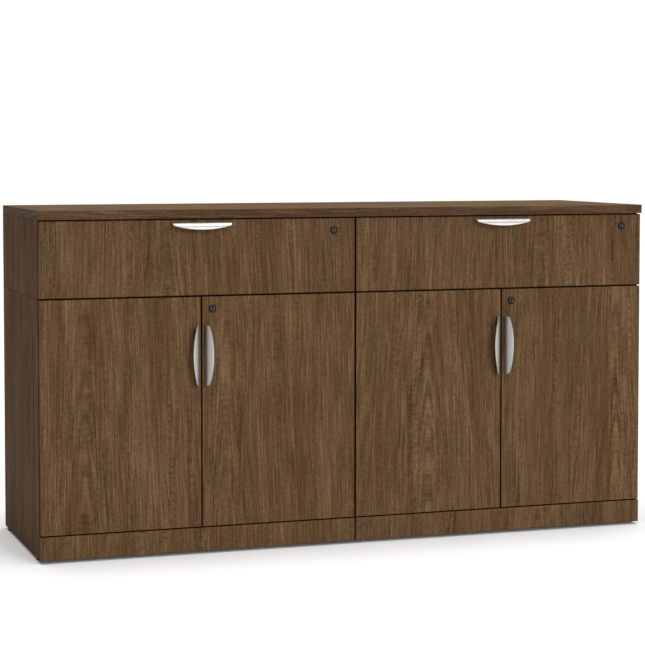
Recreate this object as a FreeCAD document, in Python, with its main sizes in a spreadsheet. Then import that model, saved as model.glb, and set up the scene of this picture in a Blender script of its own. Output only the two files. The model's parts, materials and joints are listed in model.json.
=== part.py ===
import FreeCAD, Part
import Sketcher
import os

# Credenza: two cabinets side by side under one top. Each cabinet has a pair of
# doors, a drawer in a case stacked above them, and a front base rail.
# +Z is up, the fronts face -Y, X runs along the width, the floor is at zero.

doc = FreeCAD.newDocument("credenza")
sheet = doc.addObject("Spreadsheet::Sheet", "Sizes")

SIZES = [
    # case and top
    ("top_length", 1803.0),
    ("top_thickness", 25.0),
    ("top_overhang", 6.0),
    ("case_depth", 530.0),
    ("board", 19.0),
    ("back_thickness", 12.0),
    ("rabbet_share", 0.5),
    ("top_rail_width", 80.0),
    # fronts and the gaps around them
    ("front_thickness", 19.0),
    ("bumper_gap", 3.0),
    ("front_gap", 3.0),
    ("front_reveal", 2.0),
    ("door_gap", 3.0),
    ("door_height", 638.5),
    ("drawer_front_height", 210.0),
    ("edge_round", 1.0),
    # base rail and glides
    ("rail_height", 66.0),
    ("rail_gap", 2.5),
    ("rail_reveal", 0.8),
    ("rail_lap", 9.0),
    ("glide_pad_height", 5.0),
    ("glide_neck_height", 3.0),
    ("glide_pad_diameter", 18.0),
    ("glide_neck_diameter", 11.0),
    ("glide_setback", 45.0),
    # shelf and its pins
    ("shelf_play", 1.5),
    ("shelf_setback", 24.0),
    ("pin_diameter", 5.0),
    ("pin_hole_play", 0.2),
    ("pin_in", 10.0),
    ("pin_out", 9.0),
    ("pin_hole_depth", 11.0),
    ("pin_row_setback", 69.0),
    ("pin_row_start", 240.0),
    ("pin_row_length", 256.0),
    ("pin_holes", 9),
    ("shelf_height_share", 0.5),
    # drawer box
    ("box_board", 12.0),
    ("box_top_drop", 59.5),
    ("box_lift", 12.0),
    ("box_rear_space", 41.0),
    ("box_bottom_thickness", 6.0),
    ("box_bottom_lift", 10.0),
    ("groove_depth", 6.0),
    # telescopic slides
    ("slide_space", 12.7),
    ("slide_rear_space", 64.0),
    ("slide_setback", 4.0),
    ("slide_lift", 48.0),
    ("slide_height", 45.0),
    ("slide_sheet", 1.4),
    ("slide_play", 0.4),
    ("slide_flange", 10.2),
    # concealed hinges
    ("cup_diameter", 35.0),
    ("cup_wall", 0.8),
    ("cup_edge", 3.0),
    ("cup_flange_width", 12.0),
    ("cup_flange_length", 52.0),
    ("cup_flange_sheet", 1.2),
    ("axis_from_edge", 9.0),
    ("axis_depth", 12.5),
    ("axis_to_cup_floor", 2.0),
    ("hinge_setback", 100.0),
    ("hinge_pin_diameter", 2.0),
    ("hinge_pin_play", 0.08),
    ("hinge_pin_length", 24.6),
    ("knuckle_radius", 1.6),
    ("arm_width", 12.0),
    ("arm_sheet", 2.5),
    ("arm_reach", 14.5),
    ("arm_length", 62.0),
    ("plate_length", 34.0),
    ("plate_width", 42.0),
    # cam locks
    ("lock_drop", 34.3),
    ("door_lock_inset", 29.5),
    ("drawer_lock_inset", 62.5),
    ("bezel_diameter", 21.0),
    ("bezel_height", 3.5),
    ("bezel_slope", 1.2),
    ("barrel_diameter", 18.0),
    ("barrel_length", 29.0),
    ("lock_nut_diameter", 24.0),
    ("lock_nut_height", 4.0),
    ("plug_diameter", 12.0),
    ("plug_play", 0.3),
    ("plug_recess", 0.3),
    ("keyway_length", 8.0),
    ("keyway_width", 2.0),
    ("keyway_depth", 9.0),
    ("tail_diameter", 7.0),
    ("tail_length", 4.6),
    ("cam_thickness", 2.5),
    ("cam_play", 0.3),
    ("cam_hub_diameter", 14.0),
    ("cam_length", 14.6),
    ("cam_tip_width", 9.0),
    ("strike_width", 32.0),
    ("strike_sheet", 1.2),
    ("strike_foot", 22.0),
    ("strike_setback", 4.0),
    ("strike_drop", 6.3),
    # bow pulls
    ("pull_length", 168.0),
    ("pull_width", 19.5),
    ("pull_neck", 5.5),
    ("pull_sheet", 2.6),
    ("pull_tip_radius", 8.5),
    ("pull_end_width", 1.0),
    ("pull_cut_margin", 4.0),
    ("pull_hole_spacing", 128.0),
    ("pull_boss_diameter", 7.0),
    ("pull_boss_drop", 7.0),
    ("pull_boss_length", 15.0),
    ("pull_from_edge", 8.5),
    ("door_pull_drop", 162.0),
]
for row, (name, value) in enumerate(SIZES, start=1):
    sheet.set("A%d" % row, name)
    sheet.set("B%d" % row, str(value))
    sheet.setAlias("B%d" % row, name)
doc.recompute()


def S(name):
    """The sheet cell with this name, as it is written in an expression."""
    return "Sizes." + name


# Positions that follow from the driving sizes
MODULE = "(%s / 2)" % S("top_length")
PULL_OUT = "(%s + %s)" % (S("pull_neck"), S("pull_width"))
PULL_HALF = "(%s / 2)" % S("pull_length")
TIP_X = "(%s - %s)" % (PULL_HALF, S("pull_tip_radius"))
TIP_Y = "(%s - %s)" % (S("pull_width"), S("pull_end_width"))
# the bow's arc runs through the middle of the lip and is tangent to both tip arcs
BOW_RADIUS = "((%s ^ 2 + %s ^ 2 - %s ^ 2) / (2 * (%s - %s)))" % (
    TIP_Y, TIP_X, S("pull_tip_radius"), TIP_Y, S("pull_tip_radius"))
FACE_TO_CASE = "(%s + %s)" % (S("front_thickness"), S("bumper_gap"))
TOTAL_DEPTH = "(%s + %s + %s)" % (PULL_OUT, FACE_TO_CASE, S("case_depth"))
FACE_Y = "(%s - %s / 2)" % (PULL_OUT, TOTAL_DEPTH)
CASE_Y = "(%s + %s)" % (FACE_Y, FACE_TO_CASE)
FRONT_BACK_Y = "(%s + %s)" % (FACE_Y, S("front_thickness"))
CASE_Z = "(%s + %s)" % (S("glide_pad_height"), S("glide_neck_height"))
DOOR_Z = "(%s + %s + %s)" % (CASE_Z, S("rail_height"), S("rail_gap"))
DOOR_TOP_Z = "(%s + %s)" % (DOOR_Z, S("door_height"))
LOWER = "(%s + %s + %s + %s / 2)" % (S("rail_height"), S("rail_gap"), S("door_height"), S("front_gap"))
UPPER = "(%s * 3 / 2 + %s)" % (S("front_gap"), S("drawer_front_height"))
UPPER_Z = "(%s + %s)" % (CASE_Z, LOWER)
TOP_Z = "(%s + %s)" % (UPPER_Z, UPPER)
DRAWER_Z = "(%s + %s / 2)" % (UPPER_Z, S("front_gap"))
DRAWER_TOP_Z = "(%s + %s)" % (DRAWER_Z, S("drawer_front_height"))
INSIDE = "(%s - 2 * %s)" % (MODULE, S("board"))
RABBET = "(%s * %s)" % (S("board"), S("rabbet_share"))
BOARD_DEPTH = "(%s - %s)" % (S("case_depth"), S("back_thickness"))
DOOR_WIDTH = "((%s - 2 * %s - %s) / 2)" % (MODULE, S("front_reveal"), S("door_gap"))
DRAWER_WIDTH = "(%s - 2 * %s)" % (MODULE, S("front_reveal"))
PIN_Z = "(%s + %s + %s * %s)" % (CASE_Z, S("pin_row_start"), S("pin_row_length"), S("shelf_height_share"))
BOX_WIDTH = "(%s - 2 * %s)" % (INSIDE, S("slide_space"))
BOX_Z = "(%s + %s)" % (UPPER_Z, S("box_lift"))
BOX_HEIGHT = "(%s + %s - %s - %s)" % (DRAWER_Z, S("drawer_front_height"), S("box_top_drop"), BOX_Z)
BOX_LENGTH = "(%s + %s - %s)" % (S("bumper_gap"), BOARD_DEPTH, S("box_rear_space"))
SLIDE_Z = "(%s + %s)" % (BOX_Z, S("slide_lift"))
SLIDE_Y = "(%s + %s)" % (CASE_Y, S("slide_setback"))
SLIDE_LENGTH = "(%s - %s - %s)" % (BOARD_DEPTH, S("slide_setback"), S("slide_rear_space"))
CUP_DEPTH = "(%s + %s + %s)" % (S("axis_depth"), S("axis_to_cup_floor"), S("cup_wall"))
CUP_CENTRE = "(%s + %s / 2)" % (S("cup_edge"), S("cup_diameter"))
AXIS_Y = "(%s - %s)" % (FRONT_BACK_Y, S("axis_depth"))


def new_body(label, x="0", y="0", z="0", turn=None):
    """A body with its own placement, its position bound to the sheet."""
    body = doc.addObject("PartDesign::Body", label)
    body.Label = label
    place(body, x, y, z, turn)
    return body


def place(item, x, y, z, turn=None):
    if turn is not None:
        axis, angle = turn
        item.Placement = FreeCAD.Placement(FreeCAD.Vector(), FreeCAD.Rotation(axis, angle))
    for axis_name, text in zip("xyz", (x, y, z)):
        item.setExpression("Placement.Base." + axis_name, text)


def new_sketch(body, role, u="0", v="0", w="0"):
    """A sketch on one of the body's own origin planes, moved in it by u and v, off it by w."""
    plane = [f for f in body.Origin.OriginFeatures if f.Role == role][0]
    sketch = body.newObject("Sketcher::SketchObject", body.Name + "_sketch")
    sketch.AttachmentSupport = [(plane, "")]
    sketch.MapMode = "FlatFace"
    for axis_name, text in zip("xyz", (u, v, w)):
        sketch.setExpression("AttachmentOffset.Base." + axis_name, text)
    return sketch


def rectangle(sketch, width, height):
    """A rectangle with one corner on the sketch's origin."""
    # the drawn size only starts the solver; the named constraints hold the sheet's sizes
    p = [FreeCAD.Vector(0, 0), FreeCAD.Vector(1, 0), FreeCAD.Vector(1, 1), FreeCAD.Vector(0, 1)]
    for i in range(4):
        sketch.addGeometry(Part.LineSegment(p[i], p[(i + 1) % 4]), False)
    for i in range(4):
        sketch.addConstraint(Sketcher.Constraint("Coincident", i, 2, (i + 1) % 4, 1))
    for i in (0, 2):
        sketch.addConstraint(Sketcher.Constraint("Horizontal", i))
        sketch.addConstraint(Sketcher.Constraint("Vertical", i + 1))
    sketch.addConstraint(Sketcher.Constraint("Coincident", 0, 1, -1, 1))
    bind(sketch, Sketcher.Constraint("DistanceX", 0, 1, 0, 2, 1.0), "across", width)
    bind(sketch, Sketcher.Constraint("DistanceY", 1, 1, 1, 2, 1.0), "up", height)


def circle(sketch, diameter):
    """A circle centred on the sketch's origin."""
    ring = sketch.addGeometry(Part.Circle(FreeCAD.Vector(), FreeCAD.Vector(0, 0, 1), 1.0), False)
    sketch.addConstraint(Sketcher.Constraint("Coincident", ring, 3, -1, 1))
    bind(sketch, Sketcher.Constraint("Diameter", ring, 2.0), "diameter", diameter)


def outline(sketch, points):
    """A closed outline; each corner is given by two expressions, across and up, none below zero."""
    count = len(points)
    start = [FreeCAD.Vector(float(doc_value(a)), float(doc_value(b))) for a, b in points]
    for i in range(count):
        sketch.addGeometry(Part.LineSegment(start[i], start[(i + 1) % count]), False)
    for i in range(count):
        sketch.addConstraint(Sketcher.Constraint("Coincident", i, 2, (i + 1) % count, 1))
    for i, (across, up) in enumerate(points):
        if across == "0":
            sketch.addConstraint(Sketcher.Constraint("PointOnObject", i, 1, -2))
        else:
            fixed = Sketcher.Constraint("DistanceX", -1, 1, i, 1, start[i].x)
            bind(sketch, fixed, "across%d" % i, across)
        if up == "0":
            sketch.addConstraint(Sketcher.Constraint("PointOnObject", i, 1, -1))
        else:
            fixed = Sketcher.Constraint("DistanceY", -1, 1, i, 1, start[i].y)
            bind(sketch, fixed, "up%d" % i, up)


def doc_value(text):
    """What an expression comes to with the sheet's present sizes."""
    return float(sheet.evalExpression(text.replace("Sizes.", "")))


def bind(sketch, constraint, name, text):
    index = sketch.addConstraint(constraint)
    sketch.renameConstraint(index, name)
    sketch.setExpression("Constraints." + name, text)


def pad(body, sketch, length, reverse=False, both=False):
    feature = body.newObject("PartDesign::Pad", body.Name + "_pad")
    feature.Profile = sketch
    feature.setExpression("Length", length)
    feature.Reversed = reverse
    if both:
        feature.SideType = "Symmetric"
    sketch.Visibility = False
    return feature


def pocket(body, sketch, length, reverse=False, both=False):
    feature = body.newObject("PartDesign::Pocket", body.Name + "_pocket")
    feature.Profile = sketch
    feature.setExpression("Length", length)
    feature.Reversed = reverse
    if both:
        feature.SideType = "Symmetric"
    sketch.Visibility = False
    return feature


def round_edges(body, radius):
    """Rounds every edge of the body as it stands."""
    doc.recompute()
    base = body.Tip
    feature = body.newObject("PartDesign::Fillet", body.Name + "_round")
    feature.Base = (base, ["Edge%d" % (i + 1) for i in range(len(base.Shape.Edges))])
    feature.setExpression("Radius", radius)


def level_board(label, x, y, z, width, depth, thickness):
    """A board lying flat: its corner at x, y, z."""
    body = new_body(label, x, y, z)
    sketch = new_sketch(body, "XY_Plane")
    rectangle(sketch, width, depth)
    pad(body, sketch, thickness)
    return body


def front_board(label, x, y, z, width, height, thickness):
    """A board standing across the width: its front face at y."""
    body = new_body(label, x, y, z)
    sketch = new_sketch(body, "XZ_Plane")
    rectangle(sketch, width, height)
    pad(body, sketch, thickness, reverse=True)
    return body


def side_board(label, x, y, z, depth, height, thickness, hand):
    """A board standing front to back. Its outer face is at x; hand +1 puts its thickness to +X."""
    body = new_body(label, x, y, z)
    sketch = new_sketch(body, "YZ_Plane")
    rectangle(sketch, depth, height)
    pad(body, sketch, thickness, reverse=hand < 0)
    return body


def inner_face(text, hand):
    return text if hand > 0 else "-(%s)" % text


def case_side(label, x, z, height, hand):
    """A case side with a rabbet for the back along its rear inner edge."""
    body = side_board(label, x, CASE_Y, z, S("case_depth"), height, S("board"), hand)
    sketch = new_sketch(body, "YZ_Plane", u=BOARD_DEPTH, w=inner_face(S("board"), hand))
    rectangle(sketch, S("back_thickness"), height)
    pocket(body, sketch, RABBET, reverse=hand < 0)
    return body


def pin_rows(body, hand):
    """Two rows of shelf pin holes in the inner face of a lower side."""
    rear_setback = "(%s - %s)" % (S("case_depth"), S("pin_row_setback"))
    for setback in (S("pin_row_setback"), rear_setback):
        sketch = new_sketch(body, "YZ_Plane", setback, S("pin_row_start"), inner_face(S("board"), hand))
        circle(sketch, "%s + %s" % (S("pin_diameter"), S("pin_hole_play")))
        first = pocket(body, sketch, S("pin_hole_depth"), reverse=hand < 0)
        doc.recompute()
        rows = body.newObject("PartDesign::LinearPattern", body.Name + "_row")
        rows.Originals = [first]
        rows.Direction = (sketch, ["V_Axis"])
        rows.setExpression("Length", S("pin_row_length"))
        rows.setExpression("Occurrences", S("pin_holes"))
        body.Tip = rows
        doc.recompute()


def group(label, members):
    """Separate identical pieces kept together under one name."""
    together = doc.addObject("Part::Compound", label)
    together.Label = label
    together.Links = members
    return together


def channel(label, x, y, z, height, flange, hand):
    """A rolled steel channel along Y: web at x, flanges to +X for hand +1."""
    body = new_body(label, x, y, z)
    web = new_sketch(body, "XZ_Plane", v="-(%s) / 2" % height)
    if hand < 0:
        web.setExpression("AttachmentOffset.Base.x", "-%s" % S("slide_sheet"))
    rectangle(web, S("slide_sheet"), height)
    pad(body, web, SLIDE_LENGTH, reverse=True)
    flange_u = "0" if hand > 0 else "-(%s)" % flange
    for low in (True, False):
        edge = "-(%s) / 2" % height if low else "(%s) / 2 - %s" % (height, S("slide_sheet"))
        sketch = new_sketch(body, "XZ_Plane", u=flange_u, v=edge)
        rectangle(sketch, flange, S("slide_sheet"))
        pad(body, sketch, SLIDE_LENGTH, reverse=True)
    return body


def bow_pull(label, x, z, angle):
    """A half-moon pull: a quarter-round awning cut by a bow, straight edge up before it is turned."""
    body = new_body(label, x, FACE_Y, z, (FreeCAD.Vector(0, 1, 0), angle))
    sketch = new_sketch(body, "YZ_Plane", u="-" + S("pull_neck"), v="-" + S("pull_width"))
    centre = FreeCAD.Vector()
    up = FreeCAD.Vector(0, 0, 1)
    quarter = 3.141592653589793 / 2
    start_r = doc_value(S("pull_width"))
    start_i = doc_value("%s - %s" % (S("pull_width"), S("pull_sheet")))
    start_n = doc_value(S("pull_neck"))
    outer = sketch.addGeometry(Part.ArcOfCircle(Part.Circle(centre, up, start_r), quarter, 2 * quarter), False)
    inner = sketch.addGeometry(Part.ArcOfCircle(Part.Circle(centre, up, start_i), quarter, 2 * quarter), False)
    corners = [(start_n, start_r), (start_n, start_i), (0, start_i), (0, start_r)]
    corners = [FreeCAD.Vector(a, b) for a, b in corners]
    roof = sketch.addGeometry(Part.LineSegment(corners[3], corners[0]), False)
    wall = sketch.addGeometry(Part.LineSegment(corners[0], corners[1]), False)
    soffit = sketch.addGeometry(Part.LineSegment(corners[1], corners[2]), False)
    lip = sketch.addGeometry(Part.LineSegment(FreeCAD.Vector(-start_i, 0), FreeCAD.Vector(-start_r, 0)), False)
    for arc in (outer, inner):
        sketch.addConstraint(Sketcher.Constraint("Coincident", arc, 3, -1, 1))
        sketch.addConstraint(Sketcher.Constraint("PointOnObject", arc, 1, -2))
        sketch.addConstraint(Sketcher.Constraint("PointOnObject", arc, 2, -1))
    sketch.addConstraint(Sketcher.Constraint("Coincident", outer, 1, roof, 1))
    sketch.addConstraint(Sketcher.Constraint("Coincident", roof, 2, wall, 1))
    sketch.addConstraint(Sketcher.Constraint("Coincident", wall, 2, soffit, 1))
    sketch.addConstraint(Sketcher.Constraint("Coincident", soffit, 2, inner, 1))
    sketch.addConstraint(Sketcher.Constraint("Coincident", inner, 2, lip, 1))
    sketch.addConstraint(Sketcher.Constraint("Coincident", lip, 2, outer, 2))
    sketch.addConstraint(Sketcher.Constraint("Horizontal", roof))
    sketch.addConstraint(Sketcher.Constraint("Vertical", wall))
    sketch.addConstraint(Sketcher.Constraint("Horizontal", soffit))
    bind(sketch, Sketcher.Constraint("Radius", outer, start_r), "outer", S("pull_width"))
    inside = "%s - %s" % (S("pull_width"), S("pull_sheet"))
    bind(sketch, Sketcher.Constraint("Radius", inner, start_i), "inner", inside)
    bind(sketch, Sketcher.Constraint("DistanceX", roof, 1, roof, 2, start_n), "neck", S("pull_neck"))
    pad(body, sketch, S("pull_length"), both=True)
    # the bow: a wide arc with a small one at each tip, and everything beyond them is cut away
    cut = new_sketch(body, "XZ_Plane", v="-" + S("pull_width"))
    radius = doc_value(BOW_RADIUS)
    tip = doc_value(S("pull_tip_radius"))
    half = doc_value(PULL_HALF)
    tip_x = doc_value(TIP_X)
    tip_y = doc_value(TIP_Y)
    below = doc_value(S("pull_cut_margin"))
    reach = half + below
    lean = FreeCAD.Vector(0, -1).getAngle(FreeCAD.Vector(tip_x, tip_y - radius))
    bow_circle = Part.Circle(FreeCAD.Vector(0, radius), up, radius)
    bow = cut.addGeometry(Part.ArcOfCircle(bow_circle, -quarter - lean, -quarter + lean), False)
    right_circle = Part.Circle(FreeCAD.Vector(tip_x, tip_y), up, tip)
    right_tip = cut.addGeometry(Part.ArcOfCircle(right_circle, -quarter + lean, 0), False)
    left_circle = Part.Circle(FreeCAD.Vector(-tip_x, tip_y), up, tip)
    left_tip = cut.addGeometry(Part.ArcOfCircle(left_circle, 2 * quarter, 3 * quarter - lean), False)
    edge = [(half, tip_y), (reach, tip_y), (reach, -below), (-reach, -below), (-reach, tip_y), (-half, tip_y)]
    edge = [FreeCAD.Vector(a, b) for a, b in edge]
    frame = [cut.addGeometry(Part.LineSegment(a, b), False) for a, b in zip(edge, edge[1:])]
    right_step, right, floor, left, left_step = frame
    cut.addConstraint(Sketcher.Constraint("Tangent", bow, 2, right_tip, 1))
    cut.addConstraint(Sketcher.Constraint("Tangent", left_tip, 2, bow, 1))
    cut.addConstraint(Sketcher.Constraint("Coincident", right_tip, 2, right_step, 1))
    for before, after in zip(frame, frame[1:]):
        cut.addConstraint(Sketcher.Constraint("Coincident", before, 2, after, 1))
    cut.addConstraint(Sketcher.Constraint("Coincident", left_step, 2, left_tip, 1))
    for level in (right_step, floor, left_step):
        cut.addConstraint(Sketcher.Constraint("Horizontal", level))
    for upright in (right, left):
        cut.addConstraint(Sketcher.Constraint("Vertical", upright))
    cut.addConstraint(Sketcher.Constraint("PointOnObject", bow, 3, -2))
    cut.addConstraint(Sketcher.Constraint("Horizontal", right_tip, 3, right_tip, 2))
    cut.addConstraint(Sketcher.Constraint("Horizontal", left_tip, 3, left_tip, 1))
    cut.addConstraint(Sketcher.Constraint("Equal", right_tip, left_tip))
    bind(cut, Sketcher.Constraint("Radius", bow, radius), "bow", BOW_RADIUS)
    bind(cut, Sketcher.Constraint("DistanceY", -1, 1, bow, 3, radius), "centre", BOW_RADIUS)
    bind(cut, Sketcher.Constraint("Radius", right_tip, tip), "tip", S("pull_tip_radius"))
    bind(cut, Sketcher.Constraint("DistanceX", -1, 1, right_tip, 2, half), "right_end", PULL_HALF)
    bind(cut, Sketcher.Constraint("DistanceX", left_tip, 1, -1, 1, half), "left_end", PULL_HALF)
    margin = "%s + %s" % (PULL_HALF, S("pull_cut_margin"))
    bind(cut, Sketcher.Constraint("DistanceX", -1, 1, right, 2, reach), "right", margin)
    bind(cut, Sketcher.Constraint("DistanceX", left, 1, -1, 1, reach), "left", margin)
    bind(cut, Sketcher.Constraint("DistanceY", floor, 1, -1, 1, below), "below", S("pull_cut_margin"))
    pocket(body, cut, "2 * (%s + %s)" % (PULL_OUT, S("pull_cut_margin")), both=True)
    # two bosses behind the awning take the screws through the front
    for sign in ("-", ""):
        across = "%s%s / 2" % (sign, S("pull_hole_spacing"))
        boss = new_sketch(body, "XZ_Plane", u=across, v="-" + S("pull_boss_drop"))
        circle(boss, S("pull_boss_diameter"))
        pad(body, boss, S("pull_boss_length"))
    return body


def lock_body(label, x, z):
    """Bezel, barrel and nut of a cam lock, bored for its plug."""
    body = new_body(label, x, FACE_Y, z)
    bezel = new_sketch(body, "XZ_Plane")
    circle(bezel, S("bezel_diameter"))
    pad(body, bezel, S("bezel_height"))
    doc.recompute()
    disc = body.Tip
    middle = sum(e.CenterOfMass.y for e in disc.Shape.Edges) / len(disc.Shape.Edges)
    rim = [i for i, e in enumerate(disc.Shape.Edges) if len(e.Vertexes) == 1 and e.CenterOfMass.y < middle]
    slope = body.newObject("PartDesign::Chamfer", body.Name + "_slope")
    slope.Base = (disc, ["Edge%d" % (i + 1) for i in rim])
    slope.setExpression("Size", S("bezel_slope"))
    barrel = new_sketch(body, "XZ_Plane")
    circle(barrel, S("barrel_diameter"))
    pad(body, barrel, S("barrel_length"), reverse=True)
    nut = new_sketch(body, "XZ_Plane", w="-" + S("front_thickness"))
    circle(nut, S("lock_nut_diameter"))
    pad(body, nut, S("lock_nut_height"), reverse=True)
    bore = new_sketch(body, "XZ_Plane", w=S("bezel_height"))
    circle(bore, "%s + 2 * %s" % (S("plug_diameter"), S("plug_play")))
    pocket(body, bore, "%s + %s" % (S("bezel_height"), S("barrel_length")))
    return body


def lock_plug(label, x, z):
    """The turning plug with its keyway, and the cam on its tail; the cam lies to -X when unlocked."""
    plug = new_body(label + "_core", x, FACE_Y, z)
    face = "%s - %s" % (S("bezel_height"), S("plug_recess"))
    core = new_sketch(plug, "XZ_Plane", w=face)
    circle(core, S("plug_diameter"))
    pad(plug, core, "%s + %s" % (face, S("barrel_length")), reverse=True)
    tail = new_sketch(plug, "XZ_Plane", w="-" + S("barrel_length"))
    circle(tail, S("tail_diameter"))
    pad(plug, tail, S("tail_length"), reverse=True)
    key_u = "-%s / 2" % S("keyway_width")
    key_v = "-%s / 2" % S("keyway_length")
    keyway = new_sketch(plug, "XZ_Plane", key_u, key_v, face)
    rectangle(keyway, S("keyway_width"), S("keyway_length"))
    pocket(plug, keyway, S("keyway_depth"))
    cam_w = "-(%s + %s)" % (S("barrel_length"), S("cam_play"))
    cam = new_body(label + "_cam", x, FACE_Y, z)
    hub = new_sketch(cam, "XZ_Plane", w=cam_w)
    circle(hub, S("cam_hub_diameter"))
    pad(cam, hub, S("cam_thickness"), reverse=True)
    blade = new_sketch(cam, "XZ_Plane", "-" + S("cam_length"), "-%s / 2" % S("cam_tip_width"), cam_w)
    rectangle(blade, S("cam_length"), S("cam_tip_width"))
    pad(cam, blade, S("cam_thickness"), reverse=True)
    eye = new_sketch(cam, "XZ_Plane", w=cam_w)
    circle(eye, S("tail_diameter"))
    pocket(cam, eye, S("cam_thickness"))
    return group(label, [plug, cam])


def lock_bore(body, u, v):
    """The through hole that a lock's barrel fills in a front."""
    hole = new_sketch(body, "XZ_Plane", u, v)
    circle(hole, S("barrel_diameter"))
    pocket(body, hole, S("front_thickness"))


def strike(label, x, z):
    """An angle under a board; the cam turns up behind its short leg."""
    y = "(%s + %s)" % (CASE_Y, S("strike_setback"))
    body = new_body(label, "%s - %s / 2" % (x, S("strike_width")), y, z)
    sketch = new_sketch(body, "YZ_Plane", v="-" + S("strike_drop"))
    foot = "%s - %s" % (S("strike_drop"), S("strike_sheet"))
    points = [("0", "0"), (S("strike_sheet"), "0"), (S("strike_sheet"), foot),
              (S("strike_foot"), foot), (S("strike_foot"), S("strike_drop")), ("0", S("strike_drop"))]
    outline(sketch, points)
    pad(body, sketch, S("strike_width"))
    return body


def hinge_arm(label, x, z, hand):
    """The fixed half of a hinge: finger, arm and plate; its local origin is on the hinge axis."""
    turn = (FreeCAD.Vector(0, 1, 0), 0 if hand > 0 else 180)
    body = new_body(label, x, AXIS_Y, z, turn)
    knuckle = new_sketch(body, "XY_Plane")
    circle(knuckle, "2 * " + S("knuckle_radius"))
    pad(body, knuckle, S("arm_width"), both=True)
    finger = new_sketch(body, "XY_Plane", v="-" + S("knuckle_radius"))
    outer = "%s + %s" % (S("arm_reach"), S("arm_sheet"))
    floor = "2 * " + S("knuckle_radius")
    points = [("0", "0"), (outer, "0"), (outer, S("arm_length")), (S("arm_reach"), S("arm_length")),
              (S("arm_reach"), floor), ("0", floor)]
    outline(finger, points)
    pad(body, finger, S("arm_width"), both=True)
    wall = "%s - %s - %s" % (S("board"), S("front_reveal"), S("axis_from_edge"))
    back = "%s - %s - %s" % (S("arm_length"), S("knuckle_radius"), S("plate_length"))
    plate = new_sketch(body, "XY_Plane", wall, back)
    rectangle(plate, "%s - (%s)" % (S("arm_reach"), wall), S("plate_length"))
    pad(body, plate, S("plate_width"), both=True)
    eye = new_sketch(body, "XY_Plane")
    circle(eye, "%s + 2 * %s" % (S("hinge_pin_diameter"), S("hinge_pin_play")))
    pocket(body, eye, S("plate_width"), both=True)
    return body


def hinge_cup(label, x, z, hand):
    """The cup pressed into a door, its flange and its pin; its local origin is on the hinge axis."""
    turn = (FreeCAD.Vector(0, 1, 0), 0 if hand > 0 else 180)
    body = new_body(label, x, AXIS_Y, z, turn)
    centre = "%s - %s" % (CUP_CENTRE, S("axis_from_edge"))
    rim = "-" + S("axis_depth")
    shell = new_sketch(body, "XZ_Plane", u=centre, w=rim)
    circle(shell, S("cup_diameter"))
    pad(body, shell, CUP_DEPTH)
    flange_u = "%s - %s / 2" % (centre, S("cup_flange_width"))
    flange = new_sketch(body, "XZ_Plane", flange_u, "-%s / 2" % S("cup_flange_length"), rim)
    rectangle(flange, S("cup_flange_width"), S("cup_flange_length"))
    pad(body, flange, S("cup_flange_sheet"), reverse=True)
    hollow = new_sketch(body, "XZ_Plane", u=centre, w="%s - %s" % (rim, S("cup_flange_sheet")))
    circle(hollow, "%s - 2 * %s" % (S("cup_diameter"), S("cup_wall")))
    pocket(body, hollow, "%s - %s + %s" % (CUP_DEPTH, S("cup_wall"), S("cup_flange_sheet")), reverse=True)
    pin = new_sketch(body, "XY_Plane")
    circle(pin, S("hinge_pin_diameter"))
    pad(body, pin, S("hinge_pin_length"), both=True)
    return body


def glide(label, x, y):
    """A levelling glide: a wide pad on a short neck."""
    body = new_body(label, x, y, "0")
    sole = new_sketch(body, "XY_Plane")
    circle(sole, S("glide_pad_diameter"))
    pad(body, sole, S("glide_pad_height"))
    neck = new_sketch(body, "XY_Plane", w=S("glide_pad_height"))
    circle(neck, S("glide_neck_diameter"))
    pad(body, neck, S("glide_neck_height"))
    return body


def shelf_pin(label, x, y, hand):
    """A plain steel pin, part in the side and part under the shelf; x is the inner face."""
    body = new_body(label, x, y, PIN_Z)
    sketch = new_sketch(body, "YZ_Plane", w=inner_face("-" + S("pin_in"), hand))
    circle(sketch, S("pin_diameter"))
    pad(body, sketch, "%s + %s" % (S("pin_in"), S("pin_out")), reverse=hand < 0)
    return body


nodes = []
glides = []
pins = []
shelves = []
rails = []
arms = []
cabinet_members = []
strikes = []

top = level_board(
    "top_panel", "-%s / 2" % S("top_length"), "%s - %s" % (FACE_Y, S("top_overhang")), TOP_Z,
    S("top_length"), "%s + %s + %s" % (S("top_overhang"), FACE_TO_CASE, S("case_depth")),
    S("top_thickness"))
round_edges(top, S("edge_round"))
nodes.append(top)


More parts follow.
